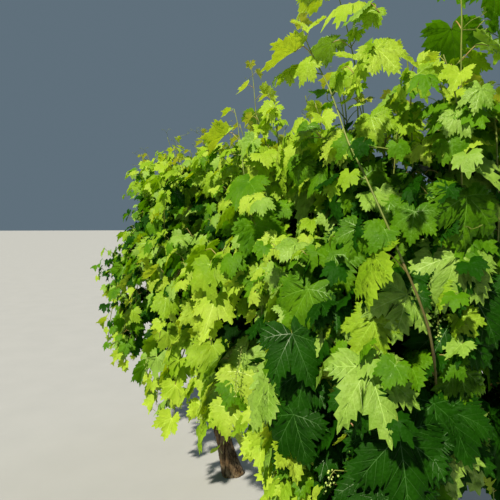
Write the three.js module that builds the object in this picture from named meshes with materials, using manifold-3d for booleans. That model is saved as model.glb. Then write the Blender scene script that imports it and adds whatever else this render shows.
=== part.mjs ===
// A grapevine trained as a hedge: a leaning trunk, two horizontal arms along the row, and a
// mass of canes and lobed leaves above and below each spur on the arms.
// Millimetres, +Z up, +X along the row, origin in the middle of the cut foot of the trunk.
import * as THREE from "three";
import { mergeVertices } from "three/addons/utils/BufferGeometryUtils.js";
import Module from "manifold-3d";

const wasm = await Module();
wasm.setup();

// Driving dimensions, in millimetres and degrees
const clearGap = 0.3; // between two pieces that meet
const touchMargin = 0.8; // a leaf must stay this clear of other masses
const leastEdge = 0.004; // corners nearer than this could merge
const trunk = {
  height: 640,
  footRadius: 60, // with its root flare
  waistRadius: 42,
  headRadius: 52,
  flareHeight: 62,
  leanX: -84, // how far the head stands from over the foot
  leanY: -34,
  sway: 22, // the bow of the stem between foot and head
  headFrom: 0.68, // the shares of the height between which the head swells
  headTo: 0.92,
  topShrink: 0.62, // the width of the head's top beside the head's own
  ridges: 0.08, // the relief, as shares of the radius
  fineRidges: 0.045,
  knots: 0.07,
  sides: 14,
  rings: 12,
};
const arms = [
  { name: "arm_far", way: -1, length: 905, firstSpur: 118, seed: 1 },
  { name: "arm_near", way: 1, length: 1475, firstSpur: 165, seed: 2 },
];
const arm = {
  rootRadius: 29,
  tipRadius: 15,
  rise: 78, // from the trunk's head to the level run
  riseRun: 120, // how soon it gets there
  swayY: 13,
  swayZ: 9,
  swayRun: 165,
  sides: 7,
  ringStep: 96,
  rootDepth: 52, // how far below the head's top the arm leaves it
  knots: 0.09, // the relief, as a share of the radius
};
const spur = { spacing: 255, reach: 62, baseRadius: 16, tipRadius: 11, lean: 0.22, sides: 6 };
const stem = { length: 34, overlap: 6, radius: 9.5, topRadius: 7.5, sides: 6 };
const cane = {
  sides: 3,
  baseRadius: 6.4,
  tipRadius: 2,
  wander: 0.13,
  stiffness: 0.42, // the share of a turn that each joint makes towards its aim
  homing: 0.0016, // the pull back to the middle of the mass, for each millimetre away
  outerFrom: 0.8, // the share of its length beyond which a cane counts as outer
  outerInternode: 0.72, // the length of an internode near the tip beside the others
  vigour: [0.93, 1.07], // how long one cane's internodes are beside another's
  budShares: [0.85, 0.35], // where the buds of even and odd joints lie on the straight wood
};
// The kinds of cane that grow from a spur. Drooping and arching ones start at an angle above level
// and bend over between two shares of their length, sooner or later by the play.
const caneKinds = {
  upright: { joints: 14, internode: 82, firstLeaf: 2 },
  drooping: { joints: 10, internode: 70, firstLeaf: 1, start: 52, bendFrom: 0.07, bendTo: 0.42, play: 0.08 },
  arching: { joints: 16, internode: 70, firstLeaf: 5, start: 84, bendFrom: 0.36, bendTo: 0.6, play: 0.12 },
  leader: { joints: 20, internode: 90, firstLeaf: 9, freeFrom: 0.45, freeBy: 0.8 },
};
const hangAngle = -86; // of a cane that has bent over, above level
const firstLean = 0.33; // of every cane, out of the hedge, where it leaves the stem
const parting = 0.46; // how far the front and back canes part at their foot and tip
const fan = { upright: 0.2, others: 0.1, play: 0.16 }; // the lean of a cane along the row
// Tall canes that stand out of the top of the hedge: the mass they grow in, counted from 0 at the
// far end, with their lean along and across the row and the share of full length they reach.
const leaders = [
  { mass: 1, leanX: 0.05, leanY: 0.06, reach: 0.7 },
  { mass: 3, leanX: 0.02, leanY: -0.05, reach: 0.74 },
  { mass: 5, leanX: -0.08, leanY: -0.08, reach: 0.88 },
  { mass: 8, leanX: -0.3, leanY: -0.12, reach: 1 },
  { mass: 9, leanX: 0.08, leanY: 0.02, reach: 1 },
];
const leaf = {
  length: 132, // from the stalk's end to the tip of the middle lobe
  sizes: [0.84, 1.16], // the range, beside that length
  youngSize: 0.34, // at a cane's tip
  youngFrom: { leader: 0.7, others: 0.8 }, // the share of a cane beyond which leaves are smaller
  thickness: 3.6,
  dome: 0.07, // the height of the middle over the rim, as a share of the length
  stalk: 74,
  stalkLift: 0.45, // the rise of the stalk beside its way out
  rootDepth: 0.3, // how far the stalk runs past the cane's middle, as a share of its radius
  swing: 60, // of the stalk, to either side of the straight way out of the hedge
  swingPlay: 8,
  facingShare: 0.75, // the share of that swing which the blade takes
  facingPlay: 28,
  roll: 28,
  tilts: [14, 46], // how far the blade faces up, on the hedge's sides
  topTilts: [40, 78], // and at its top
  topFrom: 1500, // the heights between which the one gives way to the other
  topBy: 1950,
  inward: 0.12, // the share of leaves on the inner side
  missing: 0.42, // the share of leaves left out below the cane's outer part
  tries: 3, // at a free place
  sunkShare: 0.4, // the inner part of the stalk, which may touch its own mass
  lowest: 330, // above the ground
};
// Half of a leaf's outline, as shares of its length: across, along, and droop under the middle.
const outline = [
  { across: 0.05, along: 0.02, droop: 0 }, // the notch at the stalk
  { across: 0.46, along: -0.25, droop: 0.11 }, // the basal lobe
  { across: 0.68, along: 0.47, droop: 0.13 }, // the side lobe
  { across: 0.27, along: 0.52, droop: 0.02 }, // the hollow beside the middle lobe
];
const lobeTip = { across: 0, along: 1, droop: 0.2 };
const middle = { across: 0, along: 0.12 };
const degrees = Math.PI / 180;

// A repeatable number from 0 to 1 for up to four whole numbers.
const chance = (...keys) => {
  const weights = [127.1, 311.7, 74.7, 269.5];
  const sum = keys.reduce((total, key, i) => total + (key + 1.7) * weights[i], 0);
  const wide = Math.sin(sum) * 43758.5453;
  return wide - Math.floor(wide);
};
const between = (low, high, ...keys) => low + (high - low) * chance(...keys);
const mix = (a, b, share) => a + (b - a) * share;
const easeBetween = THREE.MathUtils.smoothstep;
const vec = (x, y, z) => new THREE.Vector3(x, y, z);

// A closed solid from a geometry, and back.
function solidOf(geometry) {
  const bare = new THREE.BufferGeometry();
  bare.setAttribute("position", geometry.getAttribute("position"));
  bare.setIndex(geometry.index);
  const merged = mergeVertices(bare, 1e-3);
  return new wasm.Manifold(
    new wasm.Mesh({
      numProp: 3,
      vertProperties: merged.attributes.position.array,
      triVerts: new Uint32Array(merged.index.array),
    }),
  );
}

function geometryOf(solid) {
  const mesh = solid.getMesh();
  const geometry = new THREE.BufferGeometry();
  geometry.setAttribute("position", new THREE.BufferAttribute(mesh.vertProperties, 3));
  geometry.setIndex(new THREE.BufferAttribute(mesh.triVerts, 1));
  geometry.computeVertexNormals();
  return geometry;
}

// The largest body of a solid, so that a loose scrap is dropped and a sealed hollow is filled.
function wholeOf(solid) {
  const bodies = solid.decompose();
  return bodies.reduce((best, body) => (body.volume() > best.volume() ? body : best));
}

const touches = (a, b) => a.intersect(b).volume() > 0;

// How many pairs of corners of a solid are so near each other that they could merge.
function nearPairs(solid) {
  const { vertProperties } = solid.getMesh();
  const corners = [];
  for (let i = 0; i < vertProperties.length; i += 3) corners.push(vec(...vertProperties.subarray(i, i + 3)));
  corners.sort((a, b) => a.x - b.x);
  let pairs = 0;
  corners.forEach((a, i) => {
    for (let j = i + 1; j < corners.length && corners[j].x - a.x < leastEdge; j++) {
      if (a.distanceTo(corners[j]) < leastEdge) pairs += 1;
    }
  });
  return pairs;
}

// A cylinder bent along points. radiusAt(ring, angle) is its radius. The rings stand square to the
// way the points run, or square to one fixed way, and are turned round by an angle.
function limb(points, radiusAt, sides, fixedWay = null, turn = 0) {
  const rings = points.length - 1;
  const geometry = new THREE.CylinderGeometry(1, 1, 1, sides, rings);
  const position = geometry.attributes.position;
  const frames = points.map((point, k) => {
    const before = points[Math.max(k - 1, 0)];
    const after = points[Math.min(k + 1, rings)];
    const way = fixedWay ? fixedWay.clone() : after.clone().sub(before).normalize();
    const start = Math.abs(way.x) > 0.9 ? vec(0, 1, 0) : vec(1, 0, 0);
    const across = way.clone().cross(start).normalize();
    return { across, beside: across.clone().cross(way).normalize() };
  });
  for (let i = 0; i < position.count; i++) {
    const [x, y, z] = [position.getX(i), position.getY(i), position.getZ(i)];
    const ring = Math.round((y + 0.5) * rings);
    const angle = Math.atan2(z, x) + turn;
    const reach = Math.hypot(x, z) > 0.5 ? radiusAt(ring, angle) : 0;
    const moved = points[ring]
      .clone()
      .addScaledVector(frames[ring].across, reach * Math.cos(angle))
      .addScaledVector(frames[ring].beside, reach * Math.sin(angle));
    position.setXYZ(i, moved.x, moved.y, moved.z);
  }
  return geometry;
}

// The trunk's middle line, from the ground up.
function trunkPoint(share) {
  const bow = Math.sin(Math.PI * share) * trunk.sway;
  const settle = Math.sin((Math.PI / 2) * share);
  return vec(trunk.leanX * settle - bow * 0.5, trunk.leanY * settle - bow, trunk.height * share);
}

function trunkRadius(share, angle) {
  const height = share * trunk.height;
  const flare = (trunk.footRadius - trunk.waistRadius) * Math.exp(-height / trunk.flareHeight);
  const swell = easeBetween(share, trunk.headFrom, trunk.headTo);
  const head = (trunk.headRadius - trunk.waistRadius) * swell;
  const ridges = 1 + trunk.ridges * Math.sin(3 * angle + 5 * share);
  const fineRidges = 1 + trunk.fineRidges * Math.sin(5 * angle - 9 * share);
  const knots = 1 + trunk.knots * Math.sin(11 * share + 2 * angle);
  const crown = share === 1 ? trunk.topShrink : 1;
  return (trunk.waistRadius + flare + head) * ridges * fineRidges * knots * crown;
}

function trunkSolid(extra = 0) {
  const points = Array.from({ length: trunk.rings + 1 }, (_, k) => trunkPoint(k / trunk.rings));
  points[trunk.rings].z += extra;
  const radius = (ring, angle) => trunkRadius(ring / trunk.rings, angle) + extra;
  return solidOf(limb(points, radius, trunk.sides, vec(0, 0, 1)));
}

// An arm's middle line, at a distance along the row from the trunk's head.
function armPoint(side, along) {
  const head = trunkPoint(1);
  const level = 1 - Math.exp(-along / arm.riseRun);
  const phase = side.seed * 1.3;
  const wave = arm.swayZ * Math.sin(along / (arm.swayRun * 0.7) - phase);
  return vec(
    head.x + side.way * along,
    head.y + level * arm.swayY * Math.sin(along / arm.swayRun + phase),
    head.z - arm.rootDepth + level * (arm.rise + wave),
  );
}

const spursOn = (side) =>
  Array.from({ length: Math.floor((side.length - side.firstSpur) / spur.spacing) + 1 }, (_, i) => {
    const along = side.firstSpur + i * spur.spacing;
    const foot = armPoint(side, along);
    const way = vec(0, spur.lean * (i % 2 ? 1 : -1), 1).normalize();
    return { foot, way, tip: foot.clone().addScaledVector(way, spur.reach) };
  });

function armSolid(side, trunkGrown) {
  const rings = Math.round(side.length / arm.ringStep);
  const points = Array.from({ length: rings + 1 }, (_, k) => armPoint(side, (side.length * k) / rings));
  const radius = (ring, angle) =>
    mix(arm.rootRadius, arm.tipRadius, ring / rings) * (1 + arm.knots * Math.sin(2 * angle + ring * 1.9));
  let solid = solidOf(limb(points, radius, arm.sides, vec(side.way, 0, 0)));
  for (const { foot, tip: top } of spursOn(side)) {
    const knuckle = limb([foot, top], (ring) => (ring ? spur.tipRadius : spur.baseRadius), spur.sides);
    solid = solid.add(solidOf(knuckle));
  }
  return wholeOf(solid.subtract(trunkGrown));
}

// The way that a cane aims at, at a share of its length.
function aimOf(kind, share, side, spread, later, lean) {
  const bend = caneKinds[kind];
  if (bend.start) {
    const begun = (share - bend.bendFrom - later) / (bend.bendTo - bend.bendFrom);
    const bent = THREE.MathUtils.clamp(begun, 0, 1);
    const angle = mix(bend.start, hangAngle, bent) * degrees;
    return vec(spread * (1 - bent), side * Math.cos(angle), Math.sin(angle)).normalize();
  }
  if (kind === "leader") {
    const free = easeBetween(share, bend.freeFrom, bend.freeBy);
    return vec(spread * (1 - share) + lean.leanX * free, lean.leanY * free, 1).normalize();
  }
  return vec(spread * (1 - share), side * parting * (2 * share - 1) ** 2, 1).normalize();
}

// The joints of one cane. Its wood runs straight over every second joint, and the buds, where the
// leaf stalks start, lie on that wood.
function caneJoints(mass, number, kind, side, lean = null) {
  const { joints, internode } = caneKinds[kind];
  const count = lean ? Math.round((joints * lean.reach) / 2) * 2 : joints;
  const spread = -side * (fan[kind] ?? fan.others) + between(-fan.play, fan.play, mass.number, number, 1);
  const later = (caneKinds[kind].play ?? 0) * between(-1, 1, mass.number, number, 12);
  const step = internode * between(...cane.vigour, mass.number, number, 13);
  const place = mass.crown.clone();
  const way = vec(spread, side * firstLean, 1).normalize();
  const made = [{ place: place.clone(), share: 0 }];
  for (let i = 1; i <= count; i++) {
    const share = i / count;
    const aim = aimOf(kind, share, side, spread, later, lean);
    aim.x += (mass.crown.x - place.x) * cane.homing * (kind === "leader" ? 1 - share : 1);
    aim.x += between(-cane.wander, cane.wander, mass.number, number, i, 2);
    aim.y += between(-cane.wander, cane.wander, mass.number, number, i, 3);
    way.lerp(aim.normalize(), cane.stiffness).normalize();
    place.addScaledVector(way, step * (share > cane.outerFrom ? cane.outerInternode : 1));
    made.push({ place: place.clone(), share });
  }
  for (let i = 1; i <= count; i++) {
    const from = made[i - 2 + (i % 2)].place;
    const to = made[Math.min(i + (i % 2), count)].place;
    made[i].bud = from.clone().lerp(to, cane.budShares[i % 2]);
  }
  return made;
}

// Which way an edge of the three-sided cane points, so that the leaf stalks leave from its faces.
const edgeTowards = (kind, side) => (caneKinds[kind].start ? side : -side);
const caneRadius = (share) => mix(cane.baseRadius, cane.tipRadius, share ** 0.8);

// A leaf at a joint: where it hangs, the way it faces and its size.
function leafAt(mass, number, kind, side, joint, i) {
  const keys = [mass.number, number, i];
  const inward = chance(...keys, 4) < leaf.inward ? -1 : 1;
  const facing = side * inward;
  const swing = (i % 2 ? 1 : -1) * leaf.swing + between(-leaf.swingPlay, leaf.swingPlay, ...keys, 10);
  const turned = swing * leaf.facingShare + between(-leaf.facingPlay, leaf.facingPlay, ...keys, 5);
  const level = (angle) => vec(Math.sin(angle * degrees), facing * Math.cos(angle * degrees), 0);
  const out = level(turned);
  const top = caneKinds[kind].start ? 0 : easeBetween(joint.place.z, leaf.topFrom, leaf.topBy);
  const tilt = mix(between(...leaf.tilts, ...keys, 6), between(...leaf.topTilts, ...keys, 7), top) * degrees;
  const young = easeBetween(joint.share, leaf.youngFrom[kind] ?? leaf.youngFrom.others, 1);
  const size = between(...leaf.sizes, ...keys, 8) * mix(1, leaf.youngSize, young);
  const stalk = level(swing).setZ(leaf.stalkLift).normalize();
  const normal = out.clone().multiplyScalar(Math.cos(tilt)).setZ(Math.sin(tilt));
  const hangs = out.clone().multiplyScalar(Math.sin(tilt)).setZ(-Math.cos(tilt));
  const roll = between(-leaf.roll, leaf.roll, ...keys, 9) * degrees;
  hangs.applyAxisAngle(normal, roll);
  const base = joint.bud.clone().addScaledVector(stalk, leaf.stalk * size);
  const depth = leaf.rootDepth * caneRadius(joint.share);
  return { root: joint.bud, depth, base, stalk, normal, hangs, length: leaf.length * size };
}

// A lobed leaf as one closed sheet, thickest in the middle, with its stalk running back into the
// cane. extra swells it for a test of what it would touch.
function leafSolid({ root, depth, base, stalk, normal, hangs, length }, extra = 0) {
  const across = hangs.clone().cross(normal);
  const grown = length + extra;
  const at = (spot, lift) =>
    base
      .clone()
      .addScaledVector(across, spot.across * grown)
      .addScaledVector(hangs, spot.along * grown)
      .addScaledVector(normal, lift);
  const otherHalf = outline.map((spot) => ({ ...spot, across: -spot.across })).reverse();
  const rim = [...outline, lobeTip, ...otherHalf].map((spot) => at(spot, -spot.droop * length));
  const count = rim.length;
  const dome = leaf.dome * length;
  const topMiddle = at(middle, dome + extra);
  const backMiddle = at(middle, dome - leaf.thickness - extra);
  const stalkRoot = root.clone().addScaledVector(stalk, -depth);
  const corners = [...rim, topMiddle, backMiddle, stalkRoot];
  const [topAt, backAt, rootAt] = [count, count + 1, count + 2];
  const faces = [];
  for (let i = 0; i < count; i++) {
    faces.push([topAt, i, (i + 1) % count]);
    if (i < count - 1) faces.push([backAt, i + 1, i]);
  }
  faces.push([0, count - 1, rootAt], [count - 1, backAt, rootAt], [backAt, 0, rootAt]);
  const geometry = new THREE.BufferGeometry().setFromPoints(corners);
  geometry.setIndex(faces.flat());
  return solidOf(geometry);
}

// The masses in order along the row, each with its stem on a spur and its canes.
const spurs = [...spursOn(arms[0]).reverse(), ...spursOn(arms[1])];
const masses = spurs.map(({ tip: spurTip, way }, number) => {
  const foot = spurTip.clone().addScaledVector(way, clearGap);
  const crown = foot.clone().addScaledVector(way, stem.length);
  const mass = { number, crown, name: `foliage_${String(number + 1).padStart(2, "0")}` };
  const rows = [
    ["upright", -1],
    ["upright", 1],
    ["drooping", -1],
    ["drooping", 1],
    ["arching", number % 2 ? 1 : -1],
    ...leaders.filter((lean) => lean.mass === number).map((lean) => ["leader", 0, lean]),
  ];
  mass.canes = rows.map(([kind, side, lean], i) => ({
    kind,
    side: side || (number % 2 ? 1 : -1),
    joints: caneJoints(mass, i, kind, side, lean),
  }));
  const stemTop = crown.clone().addScaledVector(way, stem.overlap);
  const stemRadius = (ring) => (ring ? stem.topRadius : stem.radius);
  mass.solid = solidOf(limb([foot, stemTop], stemRadius, stem.sides));
  for (const { kind, side, joints } of mass.canes) {
    const rings = joints.filter((joint, i) => i % 2 === 0);
    const radius = (ring) => caneRadius(rings[ring].share);
    const turn = edgeTowards(kind, side) * 90 * degrees;
    const wood = limb(rings.map((joint) => joint.place), radius, cane.sides, null, turn);
    mass.solid = mass.solid.add(solidOf(wood));
  }
  mass.nearPairs = nearPairs(mass.solid);
  return mass;
});

const trunkWood = trunkSolid();
const trunkGrown = trunkSolid(clearGap * 1.1);
const armWood = arms.map((side) => armSolid(side, trunkGrown));
const limbs = [trunkWood, ...armWood];

// Each mass takes its leaves joint by joint. A leaf gets a few tries at a place where its blade is
// free of its own mass, and all of it of the limbs and other masses, and is left out after them.
function withLeaf(mass, branch, number, step) {
  const near = masses.filter((other) => other !== mass && Math.abs(other.number - mass.number) < 3);
  const strangers = [...limbs, ...near.map((other) => other.solid)];
  for (let turn = 0; turn < leaf.tries; turn++) {
    const shape = leafAt(mass, number, branch.kind, branch.side, branch.joints[step], step + 40 * turn);
    const swollen = leafSolid(shape, touchMargin);
    if (swollen.boundingBox().min[2] < leaf.lowest) continue;
    if (strangers.some((solid) => touches(swollen, solid))) continue;
    const blade = leafSolid({ ...shape, root: shape.root.clone().lerp(shape.base, leaf.sunkShare) });
    if (touches(blade, mass.solid)) continue;
    const joined = mass.solid.add(leafSolid(shape));
    if (nearPairs(joined) <= mass.nearPairs) return joined;
  }
  return mass.solid;
}

for (let step = 1; step <= caneKinds.leader.joints; step++) {
  for (const mass of masses) {
    mass.canes.forEach((branch, number) => {
      if (step >= branch.joints.length || step < caneKinds[branch.kind].firstLeaf) return;
      const outer = branch.joints[step].share > cane.outerFrom;
      if (!outer && chance(mass.number, number, step, 11) < leaf.missing) return;
      mass.solid = withLeaf(mass, branch, number, step);
    });
  }
}

const bark = new THREE.MeshStandardMaterial({ color: 0x6a5a48, roughness: 0.95, metalness: 0 });
const armBark = new THREE.MeshStandardMaterial({ color: 0x75624c, roughness: 0.92, metalness: 0 });
const foliage = [0x6f9a22, 0x86ac2e, 0x5c8a20].map(
  (color) => new THREE.MeshStandardMaterial({ color, roughness: 0.55, metalness: 0 }),
);

const vine = new THREE.Group();
function place(name, solid, material) {
  const mesh = new THREE.Mesh(geometryOf(solid), material);
  mesh.name = name;
  vine.add(mesh);
}
place("trunk", trunkWood, bark);
arms.forEach((side, i) => place(side.name, armWood[i], armBark));
for (const mass of masses) place(mass.name, wholeOf(mass.solid), foliage[mass.number % foliage.length]);

export default vine;
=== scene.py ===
import math

import bpy
import numpy as np
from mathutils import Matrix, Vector


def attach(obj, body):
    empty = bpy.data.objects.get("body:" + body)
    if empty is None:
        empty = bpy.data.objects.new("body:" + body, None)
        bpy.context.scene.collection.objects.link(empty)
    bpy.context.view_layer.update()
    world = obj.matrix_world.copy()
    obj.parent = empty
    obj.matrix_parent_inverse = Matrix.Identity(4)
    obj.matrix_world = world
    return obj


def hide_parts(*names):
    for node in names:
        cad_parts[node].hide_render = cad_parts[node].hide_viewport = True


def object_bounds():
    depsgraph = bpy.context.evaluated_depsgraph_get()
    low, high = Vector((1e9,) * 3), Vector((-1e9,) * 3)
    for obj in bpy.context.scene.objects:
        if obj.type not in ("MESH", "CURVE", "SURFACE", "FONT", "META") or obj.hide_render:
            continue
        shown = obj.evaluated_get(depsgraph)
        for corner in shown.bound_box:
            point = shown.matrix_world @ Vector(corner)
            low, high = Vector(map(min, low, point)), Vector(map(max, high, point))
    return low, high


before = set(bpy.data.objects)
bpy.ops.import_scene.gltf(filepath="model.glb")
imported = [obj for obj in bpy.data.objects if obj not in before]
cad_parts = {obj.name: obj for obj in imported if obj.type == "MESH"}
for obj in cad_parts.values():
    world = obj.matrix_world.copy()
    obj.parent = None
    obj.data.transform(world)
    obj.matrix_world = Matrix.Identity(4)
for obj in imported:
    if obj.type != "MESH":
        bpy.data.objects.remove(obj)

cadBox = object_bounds()
degrees = math.pi / 180
aboutTurn = 6.28  # radians
perMetre = 1000  # the millimetres in which the vine's rule is given
keyWeights = (127.1, 311.7, 74.7, 269.5)
keyShift = 1.7
spreading = 43758.5453


# A repeatable number from 0 to 1 for up to four whole numbers, as in the part's source. The last one tells a
# draw from the others
def chance(*keys):
    total = 0
    for key, weight in zip(keys, keyWeights):
        total += (key + keyShift) * weight
    wide = math.sin(total) * spreading
    return wide - math.floor(wide)


def between(low, high, *keys):
    return low + (high - low) * chance(*keys)


def swayed(size, *keys):
    return between(-size, size, *keys)


def mix(a, b, share):
    return a + (b - a) * share


def ease(x, low, high):
    t = min(max((x - low) / (high - low), 0), 1)
    return t * t * (3 - 2 * t)


def vec(x, y, z):
    return np.array([x, y, z], float)


def unit(v):
    return v / np.linalg.norm(v)


def turned(v, axis, angle):
    return v * math.cos(angle) + np.cross(axis, v) * math.sin(angle)


# Level and out to one side of the row, turned by an angle in degrees, and raised
def outward(side, angle, lift=0):
    return vec(math.sin(angle * degrees), side * math.cos(angle * degrees), lift)


# A colour given in the 0 to 255 numbers of a picture
def tint(r, g, b):
    return [((c / 255 + 0.055) / 1.055) ** 2.4 if c > 10 else c / 3294.6 for c in (r, g, b)] + [1.0]


# Camera, light and floor

view = {
    "place": (2.233, -1.228, 1.36),
    "azimuth": 59,
    "pitch": -2.7,
    "focalPixels": 470,
    "framePixels": 500,
    "sensor": 36,
    "nearest": 0.02,
    "suns": {  # the way each light comes from, its energy, its angle and its colour
        "sun": ((0.34, -0.80, 0.96), 6.0, 2.5, (1.0, 0.905, 0.7)),
        "fill": ((-0.35, 0.9, 0.5), 0.6, 50, (0.94, 0.97, 1.0)),
    },
    "roomColour": (0.58, 0.81, 1.0, 1),
    "roomStrength": 0.2,
    "floorSize": 500,
}


def makeSun(name, way, energy, angle, colour):
    sun = bpy.data.objects.new(name, bpy.data.lights.new(name, "SUN"))
    sun.data.energy = energy
    sun.data.angle = angle * degrees
    sun.data.color = colour
    sun.rotation_mode = "QUATERNION"
    sun.rotation_quaternion = Vector(way).to_track_quat("Z", "Y")
    bpy.context.scene.collection.objects.link(sun)


def makeView():
    scene = bpy.context.scene
    camera = bpy.data.objects.new("camera", bpy.data.cameras.new("camera"))
    camera.data.sensor_width = view["sensor"]
    camera.data.lens = view["sensor"] * view["focalPixels"] / view["framePixels"]
    camera.data.clip_start = view["nearest"]
    camera.location = view["place"]
    camera.rotation_euler = ((90 + view["pitch"]) * degrees, 0, view["azimuth"] * degrees)
    scene.collection.objects.link(camera)
    scene.camera = camera

    for name, light in view["suns"].items():
        makeSun(name, *light)

    scene.view_settings.view_transform = "Standard"
    scene.world = bpy.data.worlds.new("studio")
    scene.world.use_nodes = True
    background = scene.world.node_tree.nodes["Background"]
    background.inputs["Color"].default_value = view["roomColour"]
    background.inputs["Strength"].default_value = view["roomStrength"]

    half = view["floorSize"] / 2
    mesh = bpy.data.meshes.new("floor")
    square = [(-half, -half, 0), (half, -half, 0), (half, half, 0), (-half, half, 0)]
    mesh.from_pydata(square, [], [(0, 1, 2, 3)])
    floor = bpy.data.objects.new("floor", mesh)
    scene.collection.objects.link(floor)
    return floor


floor = makeView()
print("camera, light and floor are set")


# Finishes

# A socket of a shader, whose + - and * add Math nodes
class Value:
    def __init__(self, finish, socket):
        self.finish = finish
        self.socket = socket

    def __add__(self, other):
        return self.finish.node("Math", {"operation": "ADD"}, {0: self, 1: other})

    def __sub__(self, other):
        return self.finish.node("Math", {"operation": "SUBTRACT"}, {0: self, 1: other})

    def __rsub__(self, other):
        return self.finish.node("Math", {"operation": "SUBTRACT"}, {0: other, 1: self})

    def __mul__(self, other):
        return self.finish.node("Math", {"operation": "MULTIPLY"}, {0: self, 1: other})

    __radd__ = __add__
    __rmul__ = __mul__


class Finish:
    def __init__(self, name):
        self.material = bpy.data.materials.new(name)
        self.material.use_nodes = True
        self.tree = self.material.node_tree
        self.tree.nodes.clear()

    # Any node: its type, its settings, and the values or links of its sockets
    def node(self, kind, settings=None, values=None, output=0):
        node = self.tree.nodes.new("ShaderNode" + kind)
        for key, value in (settings or {}).items():
            setattr(node, key, value)
        for key, value in (values or {}).items():
            if isinstance(value, Value):
                self.tree.links.new(value.socket, node.inputs[key])
            else:
                node.inputs[key].default_value = value
        return Value(self, node.outputs[output]) if node.outputs else None

    def place(self, stretch=(1, 1, 1)):
        where = self.node("TexCoord", output=3)
        return self.node("VectorMath", {"operation": "MULTIPLY"}, {0: where, 1: stretch})

    def noise(self, where, scale, detail=3, roughness=0.55):
        values = {"Vector": where, "Scale": scale, "Detail": detail, "Roughness": roughness}
        return self.node("TexNoise", {"noise_dimensions": "3D"}, values)

    def between(self, share, low, high, first, second):
        values = {"Value": share, "From Min": low, "From Max": high, "To Min": first, "To Max": second}
        return self.node("MapRange", {"clamp": True}, values)

    def colours(self, share, first, second):
        return self.node("Mix", {"data_type": "RGBA"}, {0: share, 6: first, 7: second}, output=2)

    def bump(self, height, strength, distance):
        return self.node("Bump", None, {"Strength": strength, "Distance": distance, "Height": height})

    def principled(self, colour, roughness, **others):
        return self.node("BsdfPrincipled", None, {"Base Color": colour, "Roughness": roughness, **others})

    def done(self, shader):
        self.node("OutputMaterial", None, {"Surface": shader})
        return self.material


# Patterns are given as waves for each metre, detail and, where it isn't the usual one, roughness
floorLook = {
    "dark": (0.35, 0.365, 0.39, 1), "light": (0.40, 0.415, 0.44, 1), "speckles": (3, 4), "roughness": 0.9,
}
leafLook = {
    "drift": (11, 2), "mottle": (95, 3, 0.6), "pucker": (125, 2, 0.5), "grain": (520, 2),
    "driftShare": 0.62, "mottleShare": 0.24, "puckerShade": 0.3, "shares": (0.2, 0.95),
    "contrast": (0.3, 0.7), "grainRelief": 0.15, "relief": 0.004, "bump": 0.9, "roughness": (0.38, 0.54),
}
veinLook = {"blotches": (40, 2), "roughness": 0.45}
shootLook = {
    "patches": (14, 3), "patchContrast": (0.36, 0.64), "lines": (420, 2), "along": (1, 1, 0.12),
    "streaks": (0.45, 0.75, 0, 0.5), "relief": 0.0008, "bump": 0.4,
}
barkLook = {
    "fibres": (130, 4, 0.65), "patches": (16, 4), "flecks": (210, 3, 0.7), "weathering": (0.38, 0.62),
    "furrows": (0.38, 0.56), "fleck": (196, 180, 150), "fleckShares": (0.6, 0.8, 0, 0.5),
    "fleckRelief": 0.3, "relief": 0.004, "bump": 0.9, "roughness": (0.3, 0.7, 0.98, 0.82), "shine": 0.2,
    "upright": (1, 1, 0.1), "level": (0.1, 1, 1),  # which way the fibres run
}


def floorFinish():
    finish = Finish("floorPaint")
    speckle = finish.noise(finish.place(), *floorLook["speckles"])
    colour = finish.colours(speckle, floorLook["dark"], floorLook["light"])
    return finish.done(finish.principled(colour, floorLook["roughness"]))


# A leaf blade: two greens that drift from leaf to leaf, painted shade in the hollows of its puckers, a satin
# face, and light let through
def leafFinish(name, dark, light, through, glow, shine):
    look = leafLook
    finish = Finish(name)
    where = finish.place()
    drift = finish.between(finish.noise(where, *look["drift"]), *look["contrast"], 0, 1)
    mottle = finish.noise(where, *look["mottle"])
    pucker = finish.noise(where, *look["pucker"])
    grain = finish.noise(where, *look["grain"])
    # painted shade: the pucker noise that raises the bumps also lightens the green on them, so their hollows
    # are darker
    share = drift * look["driftShare"] + mottle * look["mottleShare"] + pucker * look["puckerShade"]
    colour = finish.colours(finish.between(share, *look["shares"], 0, 1), tint(*dark), tint(*light))
    roughness = finish.between(mottle, *look["contrast"], *look["roughness"])
    relief = pucker * (1 - look["grainRelief"]) + grain * look["grainRelief"]
    normal = finish.bump(relief, look["bump"], look["relief"])
    blade = finish.principled(colour, roughness, **{"Specular IOR Level": shine, "Normal": normal})
    lit = finish.node("BsdfTranslucent", None, {"Color": tint(*through)})
    return finish.done(finish.node("MixShader", None, {0: glow, 1: blade, 2: lit}))


def veinFinish(name, dark, light):
    finish = Finish(name)
    colour = finish.colours(finish.noise(finish.place(), *veinLook["blotches"]), tint(*dark), tint(*light))
    return finish.done(finish.principled(colour, veinLook["roughness"]))


# Green wood: streaked along its length, with reddish or brown patches
def shootFinish(name, first, second, streak, roughness):
    look = shootLook
    finish = Finish(name)
    patches = finish.between(finish.noise(finish.place(), *look["patches"]), *look["patchContrast"], 0, 1)
    lines = finish.noise(finish.place(look["along"]), *look["lines"])
    colour = finish.colours(patches, tint(*first), tint(*second))
    colour = finish.colours(finish.between(lines, *look["streaks"]), colour, tint(*streak))
    normal = finish.bump(lines, look["bump"], look["relief"])
    return finish.done(finish.principled(colour, roughness, Normal=normal))


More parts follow.
